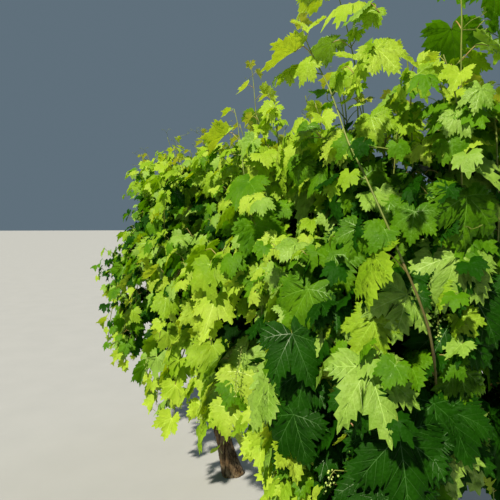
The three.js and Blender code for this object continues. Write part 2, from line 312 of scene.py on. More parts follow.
# Bark: long fibres with dark furrows between weathered grey ridges
def barkFinish(name, way, furrow, brown, grey):
    look = barkLook
    finish = Finish(name)
    fibres = finish.noise(finish.place(look[way]), *look["fibres"])
    patches = finish.noise(finish.place(), *look["patches"])
    flecks = finish.noise(finish.place(), *look["flecks"])
    furrows = 1 - finish.between(fibres, *look["furrows"], 0, 1)
    colour = finish.colours(finish.between(patches, *look["weathering"], 0, 1), tint(*brown), tint(*grey))
    colour = finish.colours(furrows, colour, tint(*furrow))
    colour = finish.colours(finish.between(flecks, *look["fleckShares"]), colour, tint(*look["fleck"]))
    roughness = finish.between(fibres, *look["roughness"])
    relief = fibres * (1 - look["fleckRelief"]) + flecks * look["fleckRelief"]
    normal = finish.bump(relief, look["bump"], look["relief"])
    others = {"Specular IOR Level": look["shine"], "Normal": normal}
    return finish.done(finish.principled(colour, roughness, **others))


leafTints = {  # darker and lighter green, the light that comes through, its share, and the shine
    # painted shade: the shade green, near black, stands for the dark inside of the hedge
    "shade": ((8, 32, 3), (16, 50, 5), (30, 78, 5), 0.08, 0.03),
    "deep": ((14, 50, 2), (30, 77, 6), (58, 126, 5), 0.17, 0.05),
    "mid": ((61, 109, 6), (96, 144, 14), (114, 182, 8), 0.27, 0.11),
    # painted sheen: the lighter ends of the bright and light greens are greyed a little for the sheen of lit
    # leaves, and the pale green is a greyer leaf green that also stands in for the sheen of the sky on glossy
    # leaves
    "bright": ((112, 154, 18), (150, 184, 46), (156, 208, 10), 0.31, 0.15),
    "light": ((144, 180, 36), (176, 204, 74), (192, 222, 16), 0.34, 0.18),
    "pale": ((108, 151, 40), (150, 186, 80), (146, 197, 22), 0.26, 0.24),
    "young": ((150, 187, 38), (180, 209, 70), (204, 227, 40), 0.38, 0.2),
    "tip": ((142, 158, 46), (166, 176, 66), (196, 208, 52), 0.38, 0.2),
}
veinTints = {
    "shade": ((16, 42, 5), (26, 60, 8)),
    "deep": ((34, 82, 9), (54, 102, 20)),
    "mid": ((84, 134, 22), (108, 154, 36)),
    "bright": ((130, 172, 34), (154, 190, 54)),
    "light": ((162, 194, 50), (186, 210, 80)),
    "pale": ((136, 174, 66), (162, 195, 96)),
    "young": ((172, 200, 60), (192, 214, 86)),
    "tip": ((154, 164, 58), (176, 180, 74)),
}
floor.data.materials.append(floorFinish())
leafFinishes = {
    green: [leafFinish("leaf_" + green, *leafTints[green]), veinFinish("vein_" + green, *veinTints[green])]
    for green in leafTints
}
greenShoot = shootFinish("green_shoot", (96, 120, 40), (130, 148, 60), (120, 80, 50), 0.5)
brownShoot = shootFinish("brown_shoot", (84, 72, 34), (102, 100, 46), (64, 44, 26), 0.6)
stalkSkin = shootFinish("stalk_skin", (146, 160, 70), (160, 116, 74), (172, 176, 96), 0.45)
berrySkin = shootFinish("berry_skin", (138, 172, 66), (176, 200, 106), (190, 208, 130), 0.35)
trunkBark = barkFinish("trunk_bark", "upright", (38, 28, 18), (108, 84, 56), (138, 122, 98))
armBark = barkFinish("arm_bark", "level", (42, 31, 20), (118, 92, 62), (146, 128, 102))
print("finishes are made")


# Many small meshes, given in millimetres, gathered into one piece
class Pile:
    def __init__(self):
        self.corners = []
        self.faces = {4: [], 3: []}
        self.slots = {4: [], 3: []}
        self.count = 0

    def add(self, corners, quads=(), tris=(), quadSlots=0):
        for size, faces, slots in ((4, quads, quadSlots), (3, tris, 0)):
            if len(faces):
                self.faces[size].append(np.asarray(faces) + self.count)
                self.slots[size].append(np.broadcast_to(slots, len(faces)))
        self.corners.append(corners)
        self.count += len(corners)

    def addTube(self, line, radii, sides):
        self.add(*tube(line, radii, sides))

    def piece(self, name, materials, slot, nodes):
        used = [size for size in (4, 3) if self.faces[size]]
        faces = [np.concatenate(self.faces[size]) for size in used]
        slots = np.concatenate([np.concatenate(self.slots[size]) for size in used])
        sizes = np.repeat(used, [len(group) for group in faces])
        loops = np.concatenate([group.ravel() for group in faces])
        starts = np.concatenate([[0], np.cumsum(sizes)[:-1]])
        corners = np.concatenate(self.corners) / perMetre
        mesh = bpy.data.meshes.new(name)
        mesh.vertices.add(self.count)
        mesh.vertices.foreach_set("co", corners.astype(np.float32).ravel())
        mesh.loops.add(len(loops))
        mesh.loops.foreach_set("vertex_index", loops.astype(np.int32))
        mesh.polygons.add(len(sizes))
        mesh.polygons.foreach_set("loop_start", starts.astype(np.int32))
        mesh.polygons.foreach_set("material_index", slots.astype(np.int32))
        mesh.polygons.foreach_set("use_smooth", np.ones(len(sizes), bool))
        mesh.update(calc_edges=True)
        mesh.validate()
        for material in materials:
            mesh.materials.append(material)
        piece = bpy.data.objects.new(name, mesh)
        bpy.context.scene.collection.objects.link(piece)
        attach(piece, "root")
        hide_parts(*nodes)
        print(name, (sizes - 2).sum(), "triangles")


# Rings joined into a skin, closed to a point at both ends
def closedLoft(rings, bottomPoint, topPoint):
    sides, count = len(rings[0]), len(rings)
    corners = np.concatenate([*rings, [bottomPoint, topPoint]])
    k = np.arange(sides)
    after = (k + 1) % sides
    low = np.stack([k, after], 1)
    quads = np.concatenate([np.hstack([low, low[:, ::-1] + sides]) + i * sides for i in range(count - 1)])
    foot, last = np.full(sides, count * sides), (count - 1) * sides
    return corners, quads, np.concatenate([
        np.stack([foot, after, k], 1), np.stack([foot + 1, last + k, last + after], 1),
    ])


# The ways that a line runs at each of its points
def waysAlong(line):
    ways = np.gradient(line, axis=0)
    return ways / np.linalg.norm(ways, axis=1, keepdims=True)


tubeEnd = 0.3  # how far its foot juts out, in shares of its radius
mostlyAlong = 0.8


# A tube along points, with rings square to the way they run
def tube(points, radii, sides):
    points = np.asarray(points, float)
    ways = waysAlong(points)
    across = vec(0, 1, 0) if abs(ways[0][0]) > mostlyAlong else vec(1, 0, 0)
    angles = np.arange(sides) * 2 * math.pi / sides
    rings = []
    for point, way, radius in zip(points, ways, radii):
        across = unit(across - way * np.dot(across, way))
        beside = np.cross(way, across)
        rings.append(point + radius * (np.outer(np.cos(angles), across) + np.outer(np.sin(angles), beside)))
    return closedLoft(rings, points[0] - ways[0] * radii[0] * tubeEnd, points[-1] + ways[-1] * radii[-1])


# A smooth line through points, as many times finer
def finer(points, times):
    points = np.asarray(points, float)
    padded = np.concatenate([[2 * points[0] - points[1]], points, [2 * points[-1] - points[-2]]])
    line = []
    for i in range(1, len(padded) - 2):
        a, b, c, d = padded[i - 1:i + 3]
        bend, twist = 2 * a - 5 * b + 4 * c - d, 3 * b - a - 3 * c + d
        line += [0.5 * (2 * b + (c - a) * t + bend * t**2 + twist * t**3) for t in np.arange(times) / times]
    return np.array(line + [points[-1]])


# The vine's own rule, in millimetres, the same as in the part's source

trunk = {
    "height": 640, "footRadius": 60, "waistRadius": 42, "headRadius": 52, "flareHeight": 62,
    "leanX": -84, "leanY": -34, "sway": 22, "swayAlong": 0.5, "headFrom": 0.68, "headTo": 0.92,
    "waves": [(0.08, 3, 5), (0.045, 5, -9), (0.07, 2, 11)],  # height, number round it, turn to its head
}
arms = [
    {"name": "arm_far", "way": -1, "length": 905, "firstSpur": 118, "seed": 1},
    {"name": "arm_near", "way": 1, "length": 1475, "firstSpur": 165, "seed": 2},
]
arm = {
    "rootRadius": 29, "tipRadius": 15, "rise": 78, "riseRun": 120, "rootDepth": 52, "phase": 1.3,
    "swayY": 13, "swayZ": 9, "swayRun": 165, "swayZRun": 0.7,
}
spur = {"spacing": 255, "reach": 62, "baseRadius": 16, "tipRadius": 11, "lean": 0.22}
stem = {"length": 34, "radius": 9.5, "gap": 0.3}
cane = {
    "baseRadius": 6.4, "tipRadius": 2, "wander": 0.13, "stiffness": 0.42, "homing": 0.0016,
    "outerFrom": 0.8, "outerInternode": 0.72, "vigour": (0.93, 1.07), "budShares": (0.85, 0.35),
}
caneKinds = {  # start is a cane's angle at its foot, and bend the share of its length where it turns down
    "upright": {"joints": 14, "internode": 82, "firstLeaf": 2, "fan": 0.2},
    "drooping": {
        "joints": 10, "internode": 70, "firstLeaf": 1, "start": 52, "bend": (0.07, 0.42), "play": 0.08,
    },
    "arching": {
        "joints": 16, "internode": 70, "firstLeaf": 5, "start": 84, "bend": (0.36, 0.6), "play": 0.12,
    },
    "leader": {"joints": 20, "internode": 90, "firstLeaf": 9, "free": (0.45, 0.8)},
    "middle": {"joints": 13, "internode": 82, "firstLeaf": 4, "parting": 0.05},
    "inner": {"joints": 9, "internode": 62, "firstLeaf": 1, "start": 40, "bend": (0, 0.3), "play": 0.05},
    "stray": {"joints": 18, "internode": 80, "firstLeaf": 4, "outAngle": 38, "outBy": 0.3, "wander": 0.24},
}
hangAngle = -86
firstLean = 0.33
parting = 0.46
fan = {"usual": 0.1, "play": 0.16}
leaders = [  # mass, the free end's lean along and across the row, and reach
    (1, (0.05, 0.06), 0.7), (3, (0.02, -0.05), 0.74), (5, (-0.08, -0.08), 0.88), (8, (-0.3, -0.12), 1),
    (9, (0.08, 0.02), 1),
]
sourceCanes = [("upright", -1), ("upright", 1), ("drooping", -1), ("drooping", 1)]  # kind and side
# Canes that only the scene has, to fill the hedge: kind, side, and which way they fan
moreCanes = [
    ("upright", -1, 1), ("upright", 1, -1), ("upright", -1, 0), ("drooping", -1, 1), ("drooping", 1, -1),
    ("arching", -1, 0), ("arching", 1, 0), ("middle", -1, 1), ("middle", 1, -1),
]
# and only on the last masses at both ends, where some lean out along the row
endCanes = [
    ("drooping", -1, 0), ("drooping", 1, 0), ("arching", -1, 1), ("drooping", -1, 4), ("drooping", 1, 3),
    ("inner", -1, 1), ("inner", 1, -1), ("inner", -1, 4), ("inner", 1, 4),
]
# and one to close the top
topCanes = [("middle", 1, 0)]
# and these close the two ends, with leaves turned that way
wallCanes = [("middle", -1, 3), ("middle", 1, 5), ("middle", 1, 2)]
wallTurn = 72
# and long canes that stray out in front of the leaves
strays = [  # mass, side, lean along the row at first and then, and reach
    (9, -1, (0.3, -0.46), 1), (7, -1, (-0.1, -0.2), 0.9), (3, -1, (0.2, 0.25), 0.8), (6, 1, (0.2, -0.3), 0.9),
    (1, 1, (-0.1, 0.3), 0.8),
]
firstNumbers = {"more": 10, "stray": 20, "wall": 30}


def trunkPoint(share):
    bow = math.sin(math.pi * share) * trunk["sway"]
    settle = math.sin(math.pi / 2 * share)
    along = trunk["leanX"] * settle - bow * trunk["swayAlong"]
    return vec(along, trunk["leanY"] * settle - bow, trunk["height"] * share)


def trunkRadius(share, angle):
    waist = trunk["waistRadius"]
    flare = (trunk["footRadius"] - waist) * math.exp(-share * trunk["height"] / trunk["flareHeight"])
    head = (trunk["headRadius"] - waist) * ease(share, trunk["headFrom"], trunk["headTo"])
    radius = waist + flare + head
    for height, around, turn in trunk["waves"]:
        radius = radius * (1 + height * np.sin(around * angle + turn * share))
    return radius


def armPoint(side, along):
    head = trunkPoint(1)
    level = 1 - math.exp(-along / arm["riseRun"])
    phase = side["seed"] * arm["phase"]
    wave = arm["swayZ"] * math.sin(along / (arm["swayRun"] * arm["swayZRun"]) - phase)
    return vec(
        head[0] + side["way"] * along,
        head[1] + level * arm["swayY"] * math.sin(along / arm["swayRun"] + phase),
        head[2] - arm["rootDepth"] + level * (arm["rise"] + wave),
    )


def spursOn(side):
    made = []
    for i in range(int((side["length"] - side["firstSpur"]) / spur["spacing"]) + 1):
        foot = armPoint(side, side["firstSpur"] + i * spur["spacing"])
        way = unit(vec(0, spur["lean"] * (1 if i % 2 else -1), 1))
        made.append({"foot": foot, "way": way, "tip": foot + way * spur["reach"]})
    return made


# The way a cane heads for at a share of its length
def aimOf(kind, share, side, spread, later, leans):
    rule = caneKinds[kind]
    if "start" in rule:
        low, high = rule["bend"]
        bent = min(max((share - low - later) / (high - low), 0), 1)
        angle = mix(rule["start"], hangAngle, bent) * degrees
        return unit(vec(spread * (1 - bent), side * math.cos(angle), math.sin(angle)))
    if kind == "stray":
        if share < rule["outBy"]:
            angle = rule["outAngle"] * degrees
            return unit(vec(leans[0], side * math.cos(angle), math.sin(angle)))
        return unit(vec(leans[1], 0, 1))
    if kind == "leader":
        free = ease(share, *rule["free"])
        return unit(vec(spread * (1 - share) + leans[0] * free, leans[1] * free, 1))
    return unit(vec(spread * (1 - share), side * rule.get("parting", parting) * (2 * share - 1) ** 2, 1))


# The joints of a cane: where each is, how far along, and the bud on it
def caneJoints(mass, number, kind, side, fanWay, leans, reach):
    rule = caneKinds[kind]
    keys = (mass["number"], number)
    count = math.floor(rule["joints"] * reach / 2 + 0.5) * 2 if leans else rule["joints"]
    fanWay = -side if fanWay is None else fanWay
    spread = fanWay * rule.get("fan", fan["usual"]) + swayed(fan["play"], *keys, 1)
    later = rule.get("play", 0) * swayed(1, *keys, 12)
    step = rule["internode"] * between(*cane["vigour"], *keys, 13)
    wander = rule.get("wander", cane["wander"])
    place = mass["crown"]
    way = unit(vec(spread, side * firstLean, 1))
    made = [{"place": place, "share": 0}]
    for i in range(1, count + 1):
        share = i / count
        aim = aimOf(kind, share, side, spread, later, leans)
        pull = {"leader": 1 - share, "stray": 0}.get(kind, 1)
        aim[0] += (mass["crown"][0] - place[0]) * cane["homing"] * pull
        aim[0] += swayed(wander, *keys, i, 2)
        aim[1] += swayed(wander, *keys, i, 3)
        way = unit(mix(way, unit(aim), cane["stiffness"]))
        place = place + way * step * (cane["outerInternode"] if share > cane["outerFrom"] else 1)
        made.append({"place": place, "share": share})
    for i in range(1, count + 1):
        first = made[i - 2 + i % 2]["place"]
        last = made[min(i + i % 2, count)]["place"]
        made[i]["bud"] = mix(first, last, cane["budShares"][i % 2])
    return made


leaf = {
    "length": 128, "sizes": (0.84, 1.16), "youngSize": 0.34, "youngFrom": {"leader": 0.7, "others": 0.8},
    "stalk": 74, "stalkLift": 0.45, "swing": 60, "swingPlay": 8, "facingShare": 0.75, "facingPlay": 28,
    "roll": 28, "tilts": (14, 46), "topTilts": (40, 78), "top": (1500, 1950), "middleTop": (1250, 1600),
    "inward": 0.12, "grand": 1.2, "grandShare": 0.16,
    "farSize": 0.72, "nearSize": 1.08, "farFrom": -1000, "nearFrom": 1200,
}


# Leaves are smaller towards the far end of the vine
def vigourAt(place):
    return mix(leaf["farSize"], leaf["nearSize"], ease(place[0], leaf["farFrom"], leaf["nearFrom"]))


def leafAt(keys, kind, side, joint, turn):
    facing = -side if chance(*keys, 4) < leaf["inward"] else side
    swing = (1 if keys[2] % 2 else -1) * leaf["swing"] + swayed(leaf["swingPlay"], *keys, 10)
    away = turn + swing * leaf["facingShare"] + swayed(leaf["facingPlay"], *keys, 5)
    topZone = leaf["middleTop" if kind == "middle" else "top"]
    top = 0 if "start" in caneKinds[kind] else ease(joint["place"][2], *topZone)
    tilt = mix(between(*leaf["tilts"], *keys, 6), between(*leaf["topTilts"], *keys, 7), top)
    young = ease(joint["share"], leaf["youngFrom"].get(kind, leaf["youngFrom"]["others"]), 1)
    size = between(*leaf["sizes"], *keys, 8) * mix(1, leaf["youngSize"], young)
    size *= leaf["grand"] if chance(*keys, 23) < leaf["grandShare"] and kind != "stray" else 1
    size *= vigourAt(joint["place"])
    roll = swayed(leaf["roll"], *keys, 9)
    return posed(joint["bud"], facing, swing + turn, away, tilt, roll, size, young, facing != side)


# A leaf on its stalk: the stalk leaves its bud at swing, and the blade faces away, tilted up
def posed(bud, facing, swing, away, tilt, roll, size, young=0, inner=False):
    stalk = unit(outward(facing, swing, leaf["stalkLift"]))
    out, up = outward(facing, away), vec(0, 0, 1)
    tilt = tilt * degrees
    normal = out * math.cos(tilt) + up * math.sin(tilt)
    hangs = turned(out * math.sin(tilt) - up * math.cos(tilt), normal, roll * degrees)
    return {
        "bud": bud, "base": bud + stalk * leaf["stalk"] * size, "normal": normal, "hangs": hangs,
        "across": np.cross(hangs, normal), "length": leaf["length"] * size, "young": young, "inner": inner,
    }


# Nothing grows out of the part's own reach, in millimetres, but for a little
lowReach, highReach = (np.array(corner) * perMetre for corner in cadBox)
spareShare, spareRoom = 0.02, 6
spare = (highReach - lowReach) * spareShare + spareRoom


def within(points, margin=0):
    points = np.atleast_2d(points)
    return bool((points > lowReach - spare + margin).all() and (points < highReach + spare - margin).all())


def addCane(mass, number, kind, side, fanWay=None, leans=None, reach=1, turn=0):
    joints = caneJoints(mass, number, kind, side, fanWay, leans, reach)
    side = side or (1 if mass["number"] % 2 else -1)
    mass["canes"].append({"number": number, "kind": kind, "side": side, "joints": joints, "turn": turn})


spurs = spursOn(arms[0])[::-1] + spursOn(arms[1])
endMasses = {0: -1, len(spurs) - 1: 1}  # the masses at the two ends, and which way is out
masses = []
for number, place in enumerate(spurs):
    foot = place["tip"] + place["way"] * stem["gap"]
    crown = foot + place["way"] * stem["length"]
    mass = {"number": number, "foot": foot, "crown": crown, "way": place["way"], "canes": []}
    rows = sourceCanes + [("arching", 1 if number % 2 else -1)]
    for i, (kind, side) in enumerate(rows):
        addCane(mass, i, kind, side)
    own = [leader[1:] for leader in leaders if leader[0] == number]
    for i, (leans, reach) in enumerate(own, len(rows)):
        addCane(mass, i, "leader", 0, None, leans, reach)
    last = number in endMasses or number == len(spurs) - 2
    for i, row in enumerate(moreCanes + (endCanes if last else []) + topCanes, firstNumbers["more"]):
        kind, side, fanWay = row
        addCane(mass, i, kind, side, -fanWay if number == 0 else fanWay)
    out = endMasses.get(number, 0)
    for i, (kind, side, fanWay) in enumerate(wallCanes if out else [], firstNumbers["wall"]):
        addCane(mass, i, kind, side, out * fanWay, turn=out * wallTurn)
    for owner, side, leans, reach in strays:
        if owner == number:
            addCane(mass, firstNumbers["stray"], "stray", side, None, leans, reach)
    masses.append(mass)
massNodes = ["foliage_%02d" % (mass["number"] + 1) for mass in masses]
print("canes", sum(len(mass["canes"]) for mass in masses))


# Leaves and side shoots on every cane

latestLeaf = 4  # the joint from which the scene's canes bear leaves, if not sooner
fullKinds = ("drooping", "inner", "middle")  # where every bud bears one
extraShare = 0.7  # of the buds on the scene's other canes
sideShoot = {
    "share": 0.54, "farShare": 0.78, "fromJoint": 3, "swings": (20, 80), "lift": 0.35, "lifts": (0.4, 1.8),
    "room": (240, 400), "joints": (3, 5), "internode": 44, "wander": 0.2, "sag": 0.14, "margin": 75,
    "leafSize": (0.28, 0.66), "turns": (20, 75), "facingShare": 0.7, "tilts": (12, 64), "roll": 40,
}
bearing = {
    "tendrilKinds": ("upright", "leader"), "tendrilFrom": 6, "tendrilShare": 0.4,
    "barrenKinds": ("leader", "stray"), "bunchJoints": (3, 4, 5, 6, 7), "bunchShare": 0.24, "bunchDepth": 85,
}
greenShares = [("deep", 0.28), ("mid", 0.44), ("pale", 0.56), ("bright", 0.77)]
shade = {
    "youngFrom": 0.3, "tipFrom": 0.9, "tipHeight": 1500, "tipShare": 0.6, "byCane": 0.4, "inner": 0.14,
    "depths": (228, 105), "heights": (1050, 1500), "above": 380, "below": 1500, "ends": 260,
    "paintedUnderShade": 0.32,  # painted shade: how much darker the leaves are under the outer ones
    "under": (30, 140), "top": (1450, 1750), "innerEnds": (100, 300),
    "paintedNearShade": 0.3, "nearEnd": (900, 1400), "nearTop": (1300, 1650),
    "paintedFarShade": 0.1, "farEnd": (-250, 450),
    "paintedMidLight": 0.21, "midFrom": (0, 300), "midTo": (850, 1100), "paintedTopLight": 0.12, "topFrom": (1500, 1750),
}
eye = np.array(view["place"]) * perMetre
# Openings that show what is behind: a point inside each, in millimetres, and its radius
openings = [
    ((890, 0, 1763), 30), ((1027, 0, 1600), 20), ((1262, 0, 1712), 25), ((1215, 0, 1540), 17),
    ((700, 0, 1690), 15),
]
leafBall = {"middle": 0.4, "radius": 0.34}  # a ball about a leaf, in shares of its length
leaves = []
shoots = []
tendrils = []
bunches = []


# Whether a leaf would cover one of the openings, seen along the line from the eye
def covers(made):
    middle = made["base"] + made["hangs"] * made["length"] * leafBall["middle"]
    for place, radius in openings:
        way = unit(np.array(place, float) - eye)
        if np.linalg.norm(np.cross(middle - eye, way)) < radius + made["length"] * leafBall["radius"]:
            return True
    return False


# Which green a leaf has: by its cane and its age, with painted shade on leaves deep in the hedge, under the
# outer ones, turned inward and towards both ends of the row, and painted light on those at its top and in its
# middle
def greenOf(canePick, leafPick, made):
    x, y, z = made["base"]
    if made["young"] > shade["youngFrom"]:
        isTip = made["young"] > shade["tipFrom"] and z > shade["tipHeight"] and leafPick < shade["tipShare"]
        return "tip" if isTip else "young"
    ends = min(x - lowReach[0], highReach[0] - x)
    # painted shade: leaves deep inside the hedge get the near-black shade green
    depth = mix(*shade["depths"], ease(z, *shade["heights"]))
    if abs(y) < depth and shade["above"] < z < shade["below"] and ends > shade["ends"]:
        return "shade"
    under = 1 - ease(abs(y), depth + shade["under"][0], depth + shade["under"][1])
    notTop = 1 - ease(z, *shade["top"])
    under = under * notTop * ease(ends, *shade["innerEnds"])
    nearEnd = ease(x, *shade["nearEnd"])
    # painted shade: leaves under the outer ones, turned inward, and towards the near and far ends get darker
    # greens
    pick = canePick * shade["byCane"] + leafPick * (1 - shade["byCane"]) - shade["inner"] * made["inner"]
    pick -= shade["paintedUnderShade"] * under + shade["paintedNearShade"] * nearEnd * (1 - ease(z, *shade["nearTop"]))
    pick -= shade["paintedFarShade"] * (1 - ease(x, *shade["farEnd"])) * notTop
    # painted light: leaves in the middle of the row and at its top get lighter greens
    pick += shade["paintedMidLight"] * ease(x, *shade["midFrom"]) * (1 - ease(x, *shade["midTo"]))
    pick += shade["paintedTopLight"] * ease(z, *shade["topFrom"])
    for green, limit in greenShares:
        if pick < limit:
            return green
    return "light"


def addLeaf(made, canePick, *keys):
    made["green"] = greenOf(canePick, chance(*keys), made)
    leaves.append(made)


# A side shoot out of a bud, with small leaves to its left and right by turns
def growShoot(keys, side, bud, canePick):
    swing = (-1 if keys[2] % 2 else 1) * between(*sideShoot["swings"], *keys, 31)
    way = outward(side, swing, sideShoot["lift"] * between(*sideShoot["lifts"], *keys, 32))
    way[1] *= 1 - ease(abs(bud[1]), *sideShoot["room"])
    way = unit(way)
    line = [bud]
    for k in range(1, int(between(*sideShoot["joints"], *keys, 33) + 0.5) + 1):
        way = unit(way + vec(swayed(sideShoot["wander"], *keys, 40 + k), 0, -sideShoot["sag"]))
        place = line[-1] + way * sideShoot["internode"]
        if not within(place, sideShoot["margin"]):
            break
        line.append(place)
        size = between(*sideShoot["leafSize"], *keys, 50 + k) * vigourAt(place)
        turn = (1 if k % 2 else -1) * between(*sideShoot["turns"], *keys, 60 + k)
        tilt = between(*sideShoot["tilts"], *keys, 70 + k)
        roll = swayed(sideShoot["roll"], *keys, 80 + k)
        made = posed(place, side, turn, turn * sideShoot["facingShare"], tilt, roll, size)
        addLeaf(made, canePick, *keys, 90 + k)
    if len(line) > 2:
        shoots.append(line)


for mass in masses:
    for branch in mass["canes"]:
        kind, side, number, joints = branch["kind"], branch["side"], branch["number"], branch["joints"]
        canePick = chance(mass["number"], number, 21)
        count = len(joints) - 1
        allBear = number < firstNumbers["more"] or branch["turn"] or kind in fullKinds
        for i in range(min(caneKinds[kind]["firstLeaf"], latestLeaf), count + 1):
            bud = joints[i]["bud"]
            keys = (mass["number"], number, i)
            if allBear or chance(*keys, 20) < extraShare:
                addLeaf(leafAt(keys, kind, side, joints[i], branch["turn"]), canePick, *keys, 22)
            share = sideShoot["farShare" if bud[0] < 0 else "share"]
            if kind != "drooping" and sideShoot["fromJoint"] <= i < count - 1 and chance(*keys, 30) < share:
                growShoot(keys, side, bud, canePick)
            opposite = {"bud": bud, "swing": -1 if i % 2 else 1, "side": side, "keys": keys}
            curls = kind in bearing["tendrilKinds"] and i >= bearing["tendrilFrom"]
            if curls and chance(*keys, 34) < bearing["tendrilShare"]:
                tendrils.append(opposite)
            fruits = kind not in bearing["barrenKinds"] and i in bearing["bunchJoints"]
            if fruits and abs(bud[1]) > bearing["bunchDepth"] and chance(*keys, 38) < bearing["bunchShare"]:
                bunches.append(opposite)
print("leaves", len(leaves), "side shoots", len(shoots), "tendrils", len(tendrils), "bunches", len(bunches))


# Leaf blades, in shares of the length from stalk to tip

blade = {
    "veins": [(0, 1.0, 0.0), (50, 0.86, -6.0), (108, 0.64, -9.0)],  # angle, length and bend of the main ones
    "veinPlay": 3, "veinLengths": (0.95, 1.06), "spacing": 1.25,
    "bays": [(27, 0.5), (80, 0.44)],  # angle and distance of the bays between the lobes
    "bayPlay": 2.5, "bayDepths": (0.94, 1.06), "baySpacing": 0.9, "bayBulge": 0.06,
    "base": (0.19, -0.34), "baseSizes": (0.92, 1.08), "basePull": (0.015, -0.2), "baseBulge": 0.05,
    "shoulder": 0.36, "shoulderBulge": 2.4, "neck": 0.17, "neckWidth": 0.04, "heart": 0.55, "nearTip": 0.97,
    "toothSizes": (0.6, 1.35), "toothLean": 0.8, "notch": 0.45, "fading": 2.4, "toothless": 0.94,
    "dip": 0.05, "puffPower": 0.8, "foldAlong": 1.2, "basePower": 1.5, "ruffle": 1.25, "fineRuffle": 0.6,
    "ruffles": 5, "fineRuffles": 9, "sameDecimals": 5,
    "mainVein": 0.0076, "mainTaper": 0.8, "undersideVein": 1.2, "sideVein": 0.003, "sideTip": 0.15,
    "lift": 0.004, "sideLift": 0.7,
}
# Rows inside the bays, rows along the margin, columns from vein to edge, size of teeth and puffs, and veins:
# 0 none, 1 the main ones, 2 the side ones too
detailParts = ("inner", "margin", "columns", "teeth", "puff", "veins")
bladeDetails = {
    "near": (3, 8, 2, 0.062, 0.088, 2),
    "mid": (2, 6, 2, 0.066, 0.08, 1),
    "far": (1, 6, 1, 0.066, 0.1, 1),
    "low": (1, 4, 1, 0.06, 0.1, 0),
    "hidden": (1, 2, 1, 0.05, 0.06, 0),
}
# How far the tip, the sides and the base bend down, the fold, the waves, and how deep the bays are
formParts = ("tip", "side", "base", "fold", "wave", "deep")
bladeForms = [
    (0.16, 0.16, 0.10, 0.06, 0.034, 1.0),
    (0.28, 0.08, 0.16, -0.08, 0.046, 0.84),
    (0.06, 0.26, 0.06, 0.18, 0.040, 1.14),
    (0.22, 0.20, 0.20, 0.0, 0.056, 0.92),
    (0.12, 0.04, 0.08, -0.16, 0.044, 1.06),
    (0.34, 0.14, 0.12, 0.10, 0.050, 1.2),
    (-0.10, -0.16, -0.1, -0.34, 0.060, 1.1),
    (0.10, -0.08, 0.0, -0.46, 0.050, 1.0),
]
grownForms = 6  # the last two are the cupped forms of young leaves
justUnder = 0.001  # so that a draw of nearly 1 still picks a grown form


# A place on the main vein of one lobe in one half of a leaf, from its stalk to the lobe's tip
def veinAt(seed, half, lobe, share):
    angle, length, bend = blade["veins"][lobe]
    if lobe:
        angle += swayed(blade["veinPlay"], seed, half + 2, lobe, 5)
        length *= between(*blade["veinLengths"], seed, half + 2, lobe, 6)
    angle = (angle + bend * share**2) * degrees
    return np.array([math.sin(angle), math.cos(angle)]) * (length * share) * (half, 1)


# From the stalk to the end of a bay, or to the end of the base behind the last lobe
def bayEdge(form, seed, half, bay, inner):
    if bay < len(blade["bays"]):
        angle, radius = blade["bays"][bay]
        angle += swayed(blade["bayPlay"], seed, half + 2, bay, 7)
        radius = radius / form["deep"] * between(*blade["bayDepths"], seed, half + 2, bay, 8)
        end = np.array([math.sin(angle * degrees), math.cos(angle * degrees)]) * radius * (half, 1)
        return [end * (j / inner) ** blade["baySpacing"] for j in range(inner + 1)]
    end = np.array(blade["base"]) * (half, 1) * between(*blade["baseSizes"], seed, half + 2, 9, 8)
    pull = np.array(blade["basePull"]) * (half, 1)
    return [2 * s * (1 - s) * pull + s * s * end for s in np.arange(inner + 1) / inner]


# The toothed margin from a bay to the tip of a lobe
def marginEdge(detail, seed, half, lobe, flank, bay, bulge):
    tip = veinAt(seed, half, lobe, 1)
    chord = tip - bay
    normal = unit(np.array([chord[1], -chord[0]]))
    normal *= np.sign(np.dot(normal, bay + chord / 2 - veinAt(seed, half, lobe, blade["heart"])))
    shoulder = bay + chord * blade["shoulder"] + normal * bulge * blade["shoulderBulge"]
    end = unit(tip - veinAt(seed, half, lobe, blade["nearTip"]))
    neck = tip - end * blade["neck"] + normal * blade["neckWidth"]
    peak, notch = normal + unit(chord) * blade["toothLean"], -normal * blade["notch"]
    edge = []
    for j in range(1, detail["margin"] + 1):
        s = j / detail["margin"]
        spot = (1 - s) ** 3 * bay + 3 * s * (1 - s) ** 2 * shoulder + 3 * s * s * (1 - s) * neck + s**3 * tip
        if s < 1:
            play = between(*blade["toothSizes"], seed, half + 2 + 10 * lobe, flank * 20 + j, 9)
            size = detail["teeth"] * play * min(1, max(0, blade["fading"] * (blade["toothless"] - s)))
            spot = spot + (peak if j % 2 else notch) * size
        edge.append(spot)
    return edge


# A grid of corners between a lobe's vein and one edge, puffed up between the side veins
def addGrid(corners, heights, vein, edge, detail, isBay):
    inner, rows, columns = detail["inner"], len(vein) - 1, detail["columns"]
    grid = []
    for j in range(rows + 1):
        low = blade["dip"] if (j - inner) % 2 else 1.0
        line = []
        for t in np.arange(columns + 1) / columns:
            quarter = math.sin(math.pi / 2 * t)
            rise = quarter if isBay and j <= inner else math.sin(math.pi * t ** blade["puffPower"])
            line.append(len(corners))
            corners.append(mix(vein[j], edge[j], t))
            heights.append(detail["puff"] * low * rise * (j not in (0, rows)))
        grid.append(line)
    return grid


# Faces turned to the front
def facing(faces, flat):
    a, b, c = flat[faces[:, 0]], flat[faces[:, 1]], flat[faces[:, 2]]
    turn = (b[:, 0] - a[:, 0]) * (c[:, 1] - a[:, 1]) - (b[:, 1] - a[:, 1]) * (c[:, 0] - a[:, 0])
    faces[turn < 0] = faces[turn < 0][:, ::-1]
    return faces


